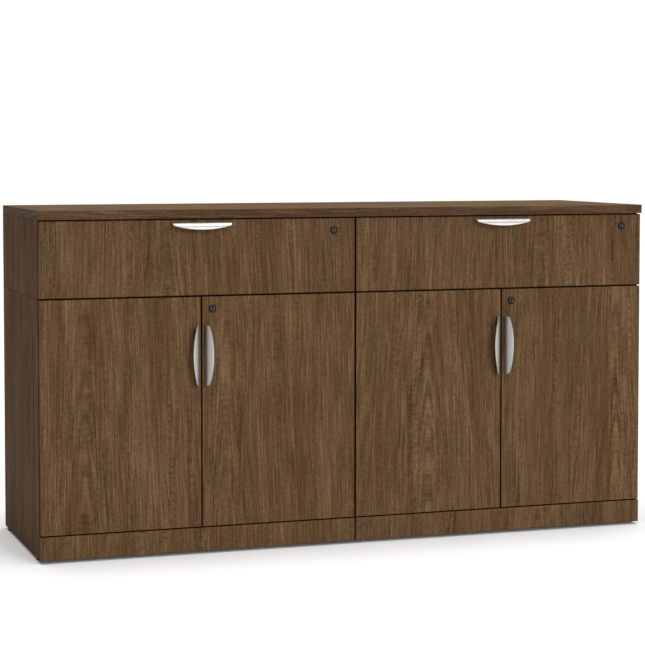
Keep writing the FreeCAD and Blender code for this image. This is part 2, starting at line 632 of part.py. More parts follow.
def door(label, module, hand, locked):
    """A door, its pull and its hinge cups; hand +1 is hinged at its left edge."""
    if hand > 0:
        x = "%s + %s" % (module, S("front_reveal"))
        axis_x = "%s + %s" % (x, S("axis_from_edge"))
        pull_x = "%s + %s - %s" % (x, DOOR_WIDTH, S("pull_from_edge"))
        cup_u = CUP_CENTRE
    else:
        x = "%s + %s - %s - %s" % (module, MODULE, S("front_reveal"), DOOR_WIDTH)
        axis_x = "%s + %s - %s" % (x, DOOR_WIDTH, S("axis_from_edge"))
        pull_x = "%s + %s" % (x, S("pull_from_edge"))
        cup_u = "%s - %s" % (DOOR_WIDTH, CUP_CENTRE)
    panel = front_board(label + "_panel", x, FACE_Y, DOOR_Z, DOOR_WIDTH, S("door_height"), S("front_thickness"))
    round_edges(panel, S("edge_round"))
    cups = []
    for part, height in (("lower", S("hinge_setback")),
                         ("upper", "(%s - %s)" % (S("door_height"), S("hinge_setback")))):
        bore = new_sketch(panel, "XZ_Plane", cup_u, height, "-" + S("front_thickness"))
        circle(bore, S("cup_diameter"))
        pocket(panel, bore, CUP_DEPTH, reverse=True)
        z = "%s + %s" % (DOOR_Z, height)
        cups.append(hinge_cup("%s_%s_cup" % (label, part), axis_x, z, hand))
        arms.append(hinge_arm("%s_%s_arm" % (label, part), axis_x, z, hand))
    nodes.append(panel)
    nodes.append(group(label + "_hinge_cups", cups))
    pull_z = "%s - %s" % (DOOR_TOP_Z, S("door_pull_drop"))
    nodes.append(bow_pull(label + "_pull", pull_x, pull_z, 90 if hand > 0 else -90))
    if locked:
        lock_x = "%s + %s" % (x, S("door_lock_inset"))
        lock_z = "%s - %s" % (DOOR_TOP_Z, S("lock_drop"))
        lock_bore(panel, S("door_lock_inset"), "%s - %s" % (S("door_height"), S("lock_drop")))
        nodes.append(lock_body(label + "_lock_body", lock_x, lock_z))
        nodes.append(lock_plug(label + "_lock_plug", lock_x, lock_z))
        strikes.append(strike(label + "_strike", lock_x, "%s - %s" % (UPPER_Z, S("board"))))


def drawer(label, module):
    """A drawer: its front, its box, its pull, its lock, and both moving members of its slides."""
    x = "%s + %s" % (module, S("front_reveal"))
    face = front_board(label + "_front", x, FACE_Y, DRAWER_Z, DRAWER_WIDTH, S("drawer_front_height"),
                       S("front_thickness"))
    round_edges(face, S("edge_round"))
    lock_u = "%s - %s" % (DRAWER_WIDTH, S("drawer_lock_inset"))
    lock_bore(face, lock_u, "%s - %s" % (S("drawer_front_height"), S("lock_drop")))
    nodes.append(face)
    lock_x = "%s + %s" % (x, lock_u)
    lock_z = "%s - %s" % (DRAWER_TOP_Z, S("lock_drop"))
    nodes.append(lock_body(label + "_lock_body", lock_x, lock_z))
    nodes.append(lock_plug(label + "_lock_plug", lock_x, lock_z))
    strikes.append(strike(label + "_strike", lock_x, "%s - %s" % (TOP_Z, S("board"))))
    middle = "%s + %s / 2" % (module, MODULE)
    nodes.append(bow_pull(label + "_pull", middle, "%s - %s" % (DRAWER_TOP_Z, S("pull_from_edge")), 0))
    # the box: sides run through, the ends stand between them, the bottom sits in grooves
    box_x = "(%s + %s + %s)" % (module, S("board"), S("slide_space"))
    box_right = "(%s + %s)" % (box_x, BOX_WIDTH)
    sides = []
    for part, side_x, hand in (("left", box_x, 1), ("right", box_right, -1)):
        side = side_board("%s_box_%s_side" % (label, part), side_x, FRONT_BACK_Y, BOX_Z,
                          BOX_LENGTH, BOX_HEIGHT, S("box_board"), hand)
        groove_u = "%s - %s" % (S("box_board"), S("groove_depth"))
        groove = new_sketch(side, "YZ_Plane", groove_u, S("box_bottom_lift"), inner_face(S("box_board"), hand))
        run = "%s - 2 * (%s)" % (BOX_LENGTH, groove_u)
        rectangle(groove, run, S("box_bottom_thickness"))
        pocket(side, groove, S("groove_depth"), reverse=hand < 0)
        sides.append(side)
    nodes.append(group(label + "_box_sides", sides))
    end_x = "%s + %s" % (box_x, S("box_board"))
    end_width = "%s - 2 * %s" % (BOX_WIDTH, S("box_board"))
    ends = []
    for part, end_y, inside_w in (
            ("front", FRONT_BACK_Y, "-(%s - %s)" % (S("box_board"), S("groove_depth"))),
            ("rear", "%s + %s - %s" % (FRONT_BACK_Y, BOX_LENGTH, S("box_board")), "0")):
        end = front_board("%s_box_%s_end" % (label, part), end_x, end_y, BOX_Z, end_width,
                          BOX_HEIGHT, S("box_board"))
        groove = new_sketch(end, "XZ_Plane", "0", S("box_bottom_lift"), inside_w)
        rectangle(groove, end_width, S("box_bottom_thickness"))
        pocket(end, groove, S("groove_depth"))
        ends.append(end)
    nodes.append(group(label + "_box_ends", ends))
    lap = "(%s - %s)" % (S("box_board"), S("groove_depth"))
    nodes.append(level_board(
        label + "_bottom", "%s + %s" % (box_x, lap), "%s + %s" % (FRONT_BACK_Y, lap),
        "%s + %s" % (BOX_Z, S("box_bottom_lift")), "%s - 2 * %s" % (BOX_WIDTH, lap),
        "%s - 2 * %s" % (BOX_LENGTH, lap), S("box_bottom_thickness")))
    # slides: three nested channels on each side
    step = "%s + %s" % (S("slide_sheet"), S("slide_play"))
    mid_height = "(%s - 2 * (%s))" % (S("slide_height"), step)
    inner_height = "(%s - 4 * (%s))" % (S("slide_height"), step)
    inner_flange = "(%s - 2 * (%s))" % (S("slide_space"), step)
    mids = []
    inners = []
    for part, wall, run_x, hand in (
            ("left", "(%s + %s)" % (module, S("board")), box_x, 1),
            ("right", "(%s + %s - %s)" % (module, MODULE, S("board")), box_right, -1)):
        sign = "+" if hand > 0 else "-"
        cabinet_members.append(channel(
            "%s_%s_cabinet_member" % (label, part), wall, SLIDE_Y, SLIDE_Z,
            S("slide_height"), S("slide_flange"), hand))
        mid_x = "%s %s (%s)" % (wall, sign, step)
        mids.append(channel("%s_%s_mid_member" % (label, part), mid_x, SLIDE_Y, SLIDE_Z,
                            mid_height, "(%s - %s)" % (S("slide_flange"), step), hand))
        inners.append(channel("%s_%s_drawer_member" % (label, part), run_x, SLIDE_Y, SLIDE_Z,
                              inner_height, inner_flange, -hand))
    nodes.append(group(label + "_slide_mid_members", mids))
    nodes.append(group(label + "_slide_drawer_members", inners))


for side_name, module in (("left", "(-%s / 2)" % S("top_length")), ("right", "(0 * %s)" % MODULE)):
    cabinet = side_name + "_cabinet"
    far = "%s + %s" % (module, MODULE)
    inside_x = "%s + %s" % (module, S("board"))
    for part, x, hand in (("left", module, 1), ("right", far, -1)):
        lower = case_side("%s_%s_side" % (cabinet, part), x, CASE_Z, LOWER, hand)
        pin_rows(lower, hand)
        nodes.append(lower)
        nodes.append(case_side("%s_upper_%s_side" % (cabinet, part), x, UPPER_Z, UPPER, hand))
        middle = "%s %s %s / 2" % (x, "+" if hand > 0 else "-", S("board"))
        face_x = "%s %s %s" % (x, "+" if hand > 0 else "-", S("board"))
        for end, setback, row in (
                ("front", S("glide_setback"), S("pin_row_setback")),
                ("rear", "(%s - %s)" % (S("case_depth"), S("glide_setback")),
                 "(%s - %s)" % (S("case_depth"), S("pin_row_setback")))):
            name = "%s_%s_%s" % (cabinet, part, end)
            glides.append(glide(name + "_glide", middle, "%s + %s" % (CASE_Y, setback)))
            pins.append(shelf_pin(name + "_pin", face_x, "%s + %s" % (CASE_Y, row), hand))
    bottom_z = "%s + %s - %s" % (CASE_Z, S("rail_height"), S("rail_lap"))
    nodes.append(level_board(cabinet + "_bottom", inside_x, CASE_Y, bottom_z, INSIDE, BOARD_DEPTH, S("board")))
    deck_z = "%s - %s" % (UPPER_Z, S("board"))
    nodes.append(level_board(cabinet + "_deck", inside_x, CASE_Y, deck_z, INSIDE, BOARD_DEPTH, S("board")))
    back_x = "%s + %s - %s" % (module, S("board"), RABBET)
    back_y = "%s + %s" % (CASE_Y, BOARD_DEPTH)
    back_width = "%s + 2 * %s" % (INSIDE, RABBET)
    nodes.append(front_board(cabinet + "_back", back_x, back_y, CASE_Z, back_width, LOWER, S("back_thickness")))
    nodes.append(front_board(cabinet + "_upper_back", back_x, back_y, UPPER_Z, back_width, UPPER,
                             S("back_thickness")))
    rail = front_board(cabinet + "_base_rail", "%s + %s" % (module, S("rail_reveal")), FACE_Y, CASE_Z,
                       "%s - 2 * %s" % (MODULE, S("rail_reveal")), S("rail_height"), FACE_TO_CASE)
    round_edges(rail, S("edge_round"))
    nodes.append(rail)
    shelves.append(level_board(
        cabinet + "_shelf", "%s + %s" % (inside_x, S("shelf_play")), "%s + %s" % (CASE_Y, S("shelf_setback")),
        "%s + %s / 2" % (PIN_Z, S("pin_diameter")), "%s - 2 * %s" % (INSIDE, S("shelf_play")),
        "%s - %s - %s" % (BOARD_DEPTH, S("shelf_setback"), S("shelf_play")), S("board")))
    rail_z = "%s - %s" % (TOP_Z, S("board"))
    for part, y in (("front", CASE_Y), ("rear", "%s + %s - %s" % (CASE_Y, BOARD_DEPTH, S("top_rail_width")))):
        rails.append(level_board("%s_%s_top_rail" % (cabinet, part), inside_x, y, rail_z, INSIDE,
                                 S("top_rail_width"), S("board")))
    door(cabinet + "_left_door", module, 1, False)
    door(cabinet + "_right_door", module, -1, True)
    drawer(side_name + "_drawer", module)

nodes.append(group("shelves", shelves))
nodes.append(group("top_rails", rails))
nodes.append(group("levelling_glides", glides))
nodes.append(group("shelf_pins", pins))
nodes.append(group("hinge_arms", arms))
nodes.append(group("slide_cabinet_members", cabinet_members))
nodes.append(group("lock_strikes", strikes))
doc.recompute()

os.makedirs("parts", exist_ok=True)
for item in doc.Objects:
    if "Invalid" in item.State or "Error" in item.State:
        raise RuntimeError("not sound: " + item.Label)
for node in nodes:
    if node.Shape.isNull() or not node.Shape.isValid():
        raise RuntimeError("no valid shape: " + node.Label)
    node.Shape.exportStep("parts/%s.step" % node.Label)
print("nodes written:", len(nodes))
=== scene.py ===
# %% [markdown]
# # A walnut credenza with two drawers and four doors
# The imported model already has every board, hinge, slide and lock at its real size. This lesson
# dresses it: wood-grain laminate on the boards, metal on the fittings, smooth bow pulls, and the
# small screws and bumpers that a cabinet maker would fit. Lengths below are in metres, like
# everything in Blender, and `MM` turns millimetres into them.

# %% Load the frame
import json
import math
import bmesh
import bpy
import numpy as np
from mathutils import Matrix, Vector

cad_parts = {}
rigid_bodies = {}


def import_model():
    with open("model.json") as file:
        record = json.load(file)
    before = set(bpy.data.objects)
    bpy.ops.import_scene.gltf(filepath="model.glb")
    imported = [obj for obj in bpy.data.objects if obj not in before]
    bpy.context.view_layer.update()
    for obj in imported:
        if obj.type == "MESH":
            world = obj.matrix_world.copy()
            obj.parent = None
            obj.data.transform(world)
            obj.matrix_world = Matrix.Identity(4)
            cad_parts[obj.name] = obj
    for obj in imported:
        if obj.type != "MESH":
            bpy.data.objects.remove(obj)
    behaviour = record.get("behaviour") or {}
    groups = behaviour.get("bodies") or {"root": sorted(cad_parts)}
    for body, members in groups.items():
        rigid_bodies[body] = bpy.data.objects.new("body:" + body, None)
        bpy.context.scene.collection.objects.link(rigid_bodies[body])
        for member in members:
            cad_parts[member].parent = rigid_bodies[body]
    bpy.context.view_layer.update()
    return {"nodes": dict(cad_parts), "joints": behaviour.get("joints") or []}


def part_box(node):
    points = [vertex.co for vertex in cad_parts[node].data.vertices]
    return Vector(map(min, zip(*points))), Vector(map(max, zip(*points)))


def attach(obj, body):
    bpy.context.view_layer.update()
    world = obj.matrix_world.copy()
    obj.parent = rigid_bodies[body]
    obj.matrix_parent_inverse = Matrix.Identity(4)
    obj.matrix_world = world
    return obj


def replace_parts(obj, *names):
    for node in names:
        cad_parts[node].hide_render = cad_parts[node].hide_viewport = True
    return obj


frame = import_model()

MM = 0.001
nodes = frame["nodes"]

# %% [markdown]
# ## Colours and nodes
# Colours are picked as sRGB hex values, but shaders count in linear light, so one function
# converts them. A second small function adds a node with its settings and its links. It could be
# split into one function for each kind of node, but a single one keeps every material readable
# as a list of steps.

# %% Helpers for materials
def linear(code):
    """An sRGB hex colour as linear RGBA: each channel goes through the sRGB curve backwards."""
    srgb = np.array([int(code[i:i + 2], 16) for i in (1, 3, 5)]) / 255
    low, high = srgb / 12.92, ((srgb + 0.055) / 1.055) ** 2.4
    return (*np.where(srgb <= 0.04045, low, high), 1.0)


def add(tree, kind, inputs=None, stops=None, **settings):
    """Adds a node. Inputs are numbers, colours or other nodes, which stand for their first output."""
    node = tree.nodes.new("ShaderNode" + kind)
    for name, value in settings.items():
        setattr(node, name, value)
    for key, value in (inputs or {}).items():
        if isinstance(value, bpy.types.Node):
            tree.links.new(value.outputs[0], node.inputs[key])
        elif isinstance(value, bpy.types.NodeSocket):
            tree.links.new(value, node.inputs[key])
        else:
            node.inputs[key].default_value = value
    for i, (place, code) in enumerate(stops or []):
        ramp = node.color_ramp.elements
        stop = ramp[i] if i < 2 else ramp.new(place)
        stop.position, stop.color = place, linear(code)
    return node


def new_material(name):
    """An empty node material with its output, and the tree to fill."""
    material = bpy.data.materials.new(name)
    material.use_nodes = True
    material.node_tree.nodes.clear()
    return material, material.node_tree


def finish_with(tree, shader):
    """Joins the last shader to the material's output."""
    add(tree, "OutputMaterial", {"Surface": shader})


print("white in linear light:", [round(c, 3) for c in linear("#ffffff")])

# %% [markdown]
# ## Walnut laminate
# The boards are particle board faced with a matt walnut-pattern laminate. A photograph of wood could
# be wrapped round each board, but a pattern made of nodes stays sharp at any distance and can give
# every board its own figure. Flat-sawn wood shows tree rings cut lengthwise: far from the pith they
# are straight stripes, near it they close into tall arches. The distance to the pith, `ring`,
# is therefore the coordinate that all stripes are drawn on, stretched long in the grain direction.

# %% The laminate's layers, from real sizes
GRAIN_LAYERS = {
    # layer: width across the grain in mm, length along it in mm, octaves
    "bands": (110.0, 700.0, 2.0),
    "streaks": (9.0, 560.0, 3.0),
    # real fibres are finer; they are drawn this wide so that they show
    "fibres": (2.6, 120.0, 1.0),
    "red": (20.0, 700.0, 2.0),
    # flecks are short ticks across the grain, gathered in rare narrow columns
    "columns": (22.0, 1100.0, 0.0),
    "flecks": (15.0, 6.0, 0.0),
    "pores": (3.4, 30.0, 0.0),
    # the print's soft speckle
    "mottle": (4.5, 9.0, 1.0),
}
# how much each layer moves the tone, and where dark, middle and light lie on it
TONE_WEIGHTS = {"fibres": 0.44, "streaks": 0.14, "bands": 0.22, "mottle": 0.2}
TONE_STOPS = (0.38, 0.5, 0.62)
# layer laid over the tone: where its noise starts to show, where it is full, and how strong it is then
OVERLAYS = {
    "red": (0.5, 0.7, 0.6),
    "columns": (0.67, 0.74, 1.0),
    "flecks": (0.54, 0.64, 0.42),
    "pores": (0.62, 0.8, 0.3),
}
# the slow bend of the grain: its width, its length, and how far it pushes sideways
WANDER_WIDTH, WANDER_LENGTH, WANDER_REACH = 150 * MM, 520 * MM, 26 * MM
# the pith: how deep it lies, how far to the side at most, and how fast the rings lean towards it
PITH_DEPTH, PITH_SWAY, ARCH_LEAN = 32 * MM, 160 * MM, 0.03
# how far from the pith its two sides stop looking alike
SIDE_CHANGE = 60 * MM
# steps through the noise from one layer to the next, and from one board to the next
LAYER_STEP, BOARD_STEP_ALONG, BOARD_STEP_DEEP, SWAY_STEP = 3.7, 1.9, 7.3, 2.4


def grain_coordinates(tree, lengthwise):
    """Across and along the grain, the place, and how far the face looks along x, y and z.

    On an upright board across is x on its face and y on its ends, and along is z. On a lengthwise
    board along is x, but y on its ends.
    """
    coord = add(tree, "TexCoord")
    place = add(tree, "SeparateXYZ", {0: coord.outputs["Object"]})
    size = add(tree, "VectorMath", {0: coord.outputs["Normal"]}, operation="ABSOLUTE")
    facing = add(tree, "SeparateXYZ", {0: size})
    x, y, z = (place.outputs[i] for i in range(3))
    if lengthwise:
        across = add(tree, "Mix", {"Factor": facing.outputs["Z"], "A": z, "B": y})
        along = add(tree, "Mix", {"Factor": facing.outputs["X"], "A": x, "B": y})
        return across.outputs[0], along.outputs[0], place, facing
    across = add(tree, "Math", {0: y, 1: facing.outputs["X"], 2: x}, operation="MULTIPLY_ADD")
    return across.outputs[0], z, place, facing


def ring_distance(tree, across, along, seed, pith):
    """Distance to the pith, and the signed offset from it.

    A slow noise first bends the grain sideways. The distance is then the square root of (across
    minus pith) squared plus its depth squared, and it leans with the height, so that rings close
    into arches.
    """
    spot = add(tree, "CombineXYZ", {0: across, 1: along, 2: 0.0})
    scale = (1 / WANDER_WIDTH, 1 / WANDER_LENGTH, 1)
    slow = add(tree, "VectorMath", {0: spot, 1: scale, 2: (0, 0, seed)}, operation="MULTIPLY_ADD")
    wander = add(tree, "TexNoise", {"Vector": slow, "Scale": 1.0, "Detail": 1.0})
    bent = add(tree, "Math", {0: wander, 1: WANDER_REACH, 2: across}, operation="MULTIPLY_ADD")
    offset = add(tree, "Math", {0: bent, 1: pith}, operation="SUBTRACT")
    square = add(tree, "Math", {0: offset, 1: offset, 2: PITH_DEPTH ** 2}, operation="MULTIPLY_ADD")
    root = add(tree, "Math", {0: square}, operation="SQRT")
    return add(tree, "Math", {0: along, 1: ARCH_LEAN, 2: root}, operation="MULTIPLY_ADD"), offset


def walnut_laminate(board, seed, lengthwise, tones, edge, reach, gloss, joints):
    """Matt walnut laminate with a figure of its own for each board.

    The weighted sum of four noises picks a tone between dark, middle and light, and red stripes,
    flecks and pores are laid over it. A dark line of painted shade, standing for the shade in the
    gaps between parts, fades out from both ends of each axis in `joints`, over the width given in
    mm. Faces that do not look along the board's thinnest side are its edges, mixed by `edge` as far
    out as `reach` towards a near-black colour: the edge band is a little darker, and the rest is
    painted shade that makes the narrow gaps read dark.
    """
    material, tree = new_material("walnut_laminate_" + board)
    lo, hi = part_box(board)
    across, along, place, facing = grain_coordinates(tree, lengthwise)
    if lengthwise:
        middle = (lo.y + hi.y) / 2
    else:
        # boards that stand along y have their grain spread over x plus y
        middle = (lo.x + hi.x) / 2 + (lo.y if hi.x - lo.x < hi.y - lo.y else 0)
    pith = middle + PITH_SWAY * math.sin(SWAY_STEP * seed)
    ring, offset = ring_distance(tree, across, along, seed, pith)
    # the offset as a third coordinate makes the two sides of an arch differ
    spot = add(tree, "CombineXYZ", {0: ring, 1: along, 2: offset})
    layer = {}
    for i, (name, (width, length, octaves)) in enumerate(GRAIN_LAYERS.items()):
        scale = (1 / (width * MM), 1 / (length * MM), 1 / SIDE_CHANGE)
        step = (LAYER_STEP * i, BOARD_STEP_ALONG * seed, BOARD_STEP_DEEP * seed + i)
        moved = add(tree, "VectorMath", {0: spot, 1: scale, 2: step}, operation="MULTIPLY_ADD")
        layer[name] = add(tree, "TexNoise", {"Vector": moved, "Scale": 1.0, "Detail": octaves})
    tone = 0.0
    for name, weight in TONE_WEIGHTS.items():
        tone = add(tree, "Math", {0: layer[name], 1: weight, 2: tone}, operation="MULTIPLY_ADD")
    stops = [(TONE_STOPS[i], tones[i]) for i in (0, 2, 1)]
    wood = add(tree, "ValToRGB", {0: tone}, stops=stops)
    shown = {}
    for name, (start, full, strength) in OVERLAYS.items():
        shown[name] = add(tree, "MapRange", {"Value": layer[name], "From Min": start, "From Max": full,
                                             "To Max": strength})
    red_wood = linear("#5c3c29")
    warm = add(tree, "Mix", {"Factor": shown["red"], "A": wood, "B": red_wood}, data_type="RGBA")
    fleck = add(tree, "Math", {0: shown["columns"], 1: shown["flecks"]}, operation="MULTIPLY")
    dark = add(tree, "Math", {0: fleck, 1: shown["pores"]}, operation="MAXIMUM")
    dark_wood = linear("#3a2b1b")
    colour = add(tree, "Mix", {"Factor": dark, "A": warm.outputs[2], "B": dark_wood}, data_type="RGBA")
    within = add(tree, "Math", {0: place.outputs["X"], 1: 0.0, 2: reach}, operation="COMPARE")
    # painted shade: dark lines at the board's ends stand for the shade in the gaps between parts
    for axis, width in joints.items():
        i = "XYZ".index(axis)
        after = add(tree, "Math", {0: place.outputs[i], 1: lo[i]}, operation="SUBTRACT")
        before = add(tree, "Math", {0: hi[i], 1: place.outputs[i]}, operation="SUBTRACT")
        end = add(tree, "Math", {0: after, 1: before}, operation="MINIMUM")
        line = add(tree, "MapRange", {"Value": end, "From Max": width * MM,
                                      "To Min": 1.0, "To Max": 0.0})
        if axis == "X":
            line = add(tree, "Math", {0: line, 1: within}, operation="MULTIPLY")
        # the colour of the painted gap shade
        joint = linear("#0d0906")
        colour = add(tree, "Mix", {"Factor": line, "A": colour.outputs[2], "B": joint}, data_type="RGBA")
    # painted shade: edges go near-black, a slightly darker edge band plus the shade of the narrow gaps
    flat = facing.outputs[int(np.argmin(hi - lo))]
    sawn = add(tree, "MapRange", {"Value": flat, "To Min": edge, "To Max": 0.0})
    band = add(tree, "Math", {0: sawn, 1: within}, operation="MULTIPLY")
    edge_shade_colour = linear("#120c07")
    colour = add(tree, "Mix", {"Factor": band, "A": colour.outputs[2], "B": edge_shade_colour}, data_type="RGBA")
    rough = add(tree, "MapRange", {"Value": layer["streaks"], "From Min": 0.3, "From Max": 0.7,
                                   "To Min": 0.66, "To Max": 0.56})
    relief = add(tree, "Math", {0: layer["fibres"], 1: dark}, operation="SUBTRACT")
    bump = add(tree, "Bump", {"Strength": 0.12, "Distance": 0.2 * MM, "Height": relief})
    shader = add(tree, "BsdfPrincipled", {"Base Color": colour.outputs[2], "Roughness": rough,
                                          "Specular IOR Level": gloss, "Normal": bump})
    finish_with(tree, shader)
    return material


def paint(node, material):
    """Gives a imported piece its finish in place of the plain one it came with."""
    mesh = nodes[node].data
    mesh.materials.clear()
    mesh.materials.append(material)


LENGTHWISE = ("top_panel", "bottom", "deck", "shelves", "top_rails")
LAMINATED = LENGTHWISE + ("_side", "_back", "base_rail", "_panel", "_front")
BOARDS = [n for n in sorted(nodes) if n.endswith(LAMINATED) and not n.endswith("drawer_bottom")]
# dark, middle and light; the top has a lighter copy as painted light and the sides a darker one as
# painted shade, matched to the photograph
WALNUT = ("#443320", "#5e4831", "#775d42")
LIT_TOP_WALNUT = ("#42321f", "#634c33", "#83674a")
SHADED_SIDE_WALNUT = ("#362818", "#533f2a", "#71583e")
# the fronts' outermost ends are seen next to the side panels, so the painted edge and gap shade stops
# short of them and they keep the walnut of their faces
SHADED_INNER_EDGES, ALL_ROUND = 898 * MM, 1000 * MM
BOARD_LOOKS = {
    # name's ending: tones, how dark the edge band and its painted shade are and how far out they reach,
    # gloss, and the width in mm of the painted shade lines at the joints along x and z. Fronts have the
    # darkest painted edge shade, so that the narrow gaps between them read as black lines. The top is
    # seen so flat that a little of the white room shows in it.
    "top_panel": (LIT_TOP_WALNUT, 0.33, ALL_ROUND, 0.06, {}),
    "_panel": (WALNUT, 0.8, SHADED_INNER_EDGES, 0.02, {"X": 1.6, "Z": 1.0}),
    "_front": (WALNUT, 0.8, SHADED_INNER_EDGES, 0.02, {"X": 1.5, "Z": 3.0}),
    "_side": (SHADED_SIDE_WALNUT, 0.55, SHADED_INNER_EDGES, 0.01, {"Z": 1.4}),
    "base_rail": (WALNUT, 0.55, SHADED_INNER_EDGES, 0.02, {"X": 3.0, "Z": 1.5}),
    "": (WALNUT, 0.55, SHADED_INNER_EDGES, 0.02, {}),
}
for seed, board in enumerate(BOARDS, start=1):
    look = next(look for ending, look in BOARD_LOOKS.items() if board.endswith(ending))
    paint(board, walnut_laminate(board, seed, board.endswith(LENGTHWISE), *look))
print("laminated boards:", len(BOARDS))

# %% [markdown]
# ## Birch plywood
# The drawer boxes are clear-lacquered birch plywood: pale, with a faint grain, and with the plies
# showing as stripes on the sawn top edges. The stripes could be modelled as thin boards, but they
# are flush, so colour by the object's normal is enough: only faces that look up get them.

# %% Birch plywood
PLY, PLY_GRAIN_WIDTH, PLY_GRAIN_LENGTH = 1.7 * MM, 11 * MM, 320 * MM


def birch_plywood(name, along_axis, seed, stripes):
    """Pale birch: stretched noise for the grain and, where asked for, plies on the top edges.

    The plies are a sine wave through the board, half of which is one ply thick.
    """
    material, tree = new_material("birch_plywood_" + name)
    coord = add(tree, "TexCoord")
    scale = [1 / PLY_GRAIN_WIDTH] * 3
    scale[along_axis] = 1 / PLY_GRAIN_LENGTH
    moved = add(tree, "VectorMath", {0: coord.outputs["Object"], 1: scale, 2: (seed, seed, seed)},
                operation="MULTIPLY_ADD")
    grain = add(tree, "TexNoise", {"Vector": moved, "Scale": 1.0, "Detail": 3.0})
    face = add(tree, "ValToRGB", {0: grain}, stops=[(0.35, "#c4a57c"), (0.65, "#dcc39c")])
    place = add(tree, "SeparateXYZ", {0: coord.outputs["Object"]})
    through = place.outputs[1 - along_axis]
    phase = add(tree, "Math", {0: through, 1: math.pi / PLY}, operation="MULTIPLY")
    wave = add(tree, "Math", {0: phase}, operation="SINE")
    plies = add(tree, "ValToRGB", {0: wave}, stops=[(0.2, "#8d6a45"), (0.6, "#d3b78c")])
    facing = add(tree, "SeparateXYZ", {0: coord.outputs["Normal"]})
    edge = add(tree, "MapRange", {"Value": facing.outputs["Z"], "From Min": 0.4, "From Max": 0.6,
                                  "To Max": stripes})
    colour = add(tree, "Mix", {"Factor": edge, "A": face, "B": plies}, data_type="RGBA")
    rough = add(tree, "MapRange", {"Value": grain, "To Min": 0.36, "To Max": 0.52})
    bump = add(tree, "Bump", {"Strength": 0.08, "Distance": 0.2 * MM, "Height": grain})
    shader = add(tree, "BsdfPrincipled", {"Base Color": colour.outputs[2], "Roughness": rough,
                                          "Normal": bump})
    finish_with(tree, shader)
    return material


BOX_PIECES = {
    # piece: the finish's name, the axis its grain runs along, a step through the noise, and its plies
    "_drawer_box_sides": ("_sides", 1, 0, 1.0),
    "_drawer_box_ends": ("_ends", 0, 10, 1.0),
    "_drawer_bottom": ("_bottom", 0, 20, 0.0),
}
for seed, side in enumerate(("left", "right"), start=1):
    for node, (name, axis, step, plies) in BOX_PIECES.items():
        paint(side + node, birch_plywood(side + name, axis, seed + step, plies))
print("plywood pieces in each drawer:", len(BOX_PIECES))

# %% [markdown]
# ## Metals and plastic
# Satin nickel is brushed and then plated, so its gloss is drawn out in fine lines. Bright zinc on
# pressed steel is cloudier. The locks wear a black satin coat, their plugs a dark nickel with the
# keyway's opening painted black as painted shade, and the glides are moulded nylon. The drawer pulls'
# nickel is a shade darker than the doors', as painted shade. The posts behind the pulls are dull cast
# zinc, coloured dark as painted shade so that they stay unseen in the pulls' shadow. Each is one
# noise that moves colour and roughness a little: a metal without that looks like a mirror cut from
# paper.

# %% One recipe for the small parts' finishes
KEYHOLE_WIDTH, KEYHOLE_HEIGHT = 3.2 * MM, 9.0 * MM


def satin_finish(name, dark, light, metallic, rough_range, grit, relief, gloss=0.5, keyhole=None):
    """A noise of the given grit mixes two colours, moves the roughness and lifts a bump.

    The grit is in mm along x, y and z. Round a keyhole, given as x and z, the mouth of the keyway
    is painted black, as painted shade in the recess.
    """
    material, tree = new_material(name)
    coord = add(tree, "TexCoord")
    scale = [1 / (g * MM) for g in grit]
    moved = add(tree, "VectorMath", {0: coord.outputs["Object"], 1: scale}, operation="MULTIPLY")
    cloud = add(tree, "TexNoise", {"Vector": moved, "Scale": 1.0, "Detail": 3.0})
    colour = add(tree, "ValToRGB", {0: cloud}, stops=[(0.35, dark), (0.65, light)]).outputs[0]
    if keyhole:
        place = add(tree, "SeparateXYZ", {0: coord.outputs["Object"]})
        width = add(tree, "Math", {0: place.outputs["X"], 1: keyhole[0], 2: KEYHOLE_WIDTH / 2},
                    operation="COMPARE")
        height = add(tree, "Math", {0: place.outputs["Z"], 1: keyhole[1], 2: KEYHOLE_HEIGHT / 2},
                     operation="COMPARE")
        # painted shade: the keyway's opening is painted black for the shade inside it
        mouth = add(tree, "Math", {0: width, 1: height}, operation="MULTIPLY")
        keyway_shade = linear("#030303")
        mixed = add(tree, "Mix", {"Factor": mouth, "A": colour, "B": keyway_shade}, data_type="RGBA")
        colour = mixed.outputs[2]
    rough = add(tree, "MapRange", {"Value": cloud, "From Min": 0.3, "From Max": 0.7,
                                   "To Min": rough_range[0], "To Max": rough_range[1]})
    bump = add(tree, "Bump", {"Strength": relief, "Distance": 0.05 * MM, "Height": cloud})
    shader = add(tree, "BsdfPrincipled", {"Base Color": colour, "Roughness": rough, "Normal": bump,
                                          "Metallic": metallic, "Specular IOR Level": gloss})
    finish_with(tree, shader)
    return material


# brushing runs along each pull: sideways on drawers, upright on doors; its lines are 1 mm wide to show
# the drawers' copy is a shade darker: painted shade that tones down the overhead light on their tops
SHADED_NICKEL_ACROSS = satin_finish("satin_nickel_drawer_pulls", "#a8a6a4", "#b8b6b4", 0.85, (0.42, 0.5),
                             (60, 1, 1), 0.1)
NICKEL_UPRIGHT = satin_finish("satin_nickel_door_pulls", "#aeacaa", "#bebcba", 0.85, (0.42, 0.5),
                              (1, 1, 60), 0.1)
ZINC = satin_finish("bright_zinc_steel", "#a9adb1", "#c6c9cb", 1.0, (0.28, 0.45), (9, 9, 9), 0.1)
LOCK_BLACK = satin_finish("black_satin_coat", "#0c0b0b", "#141312", 0.0, (0.34, 0.46),
                          (1.5, 1.5, 1.5), 0.15, 0.15)
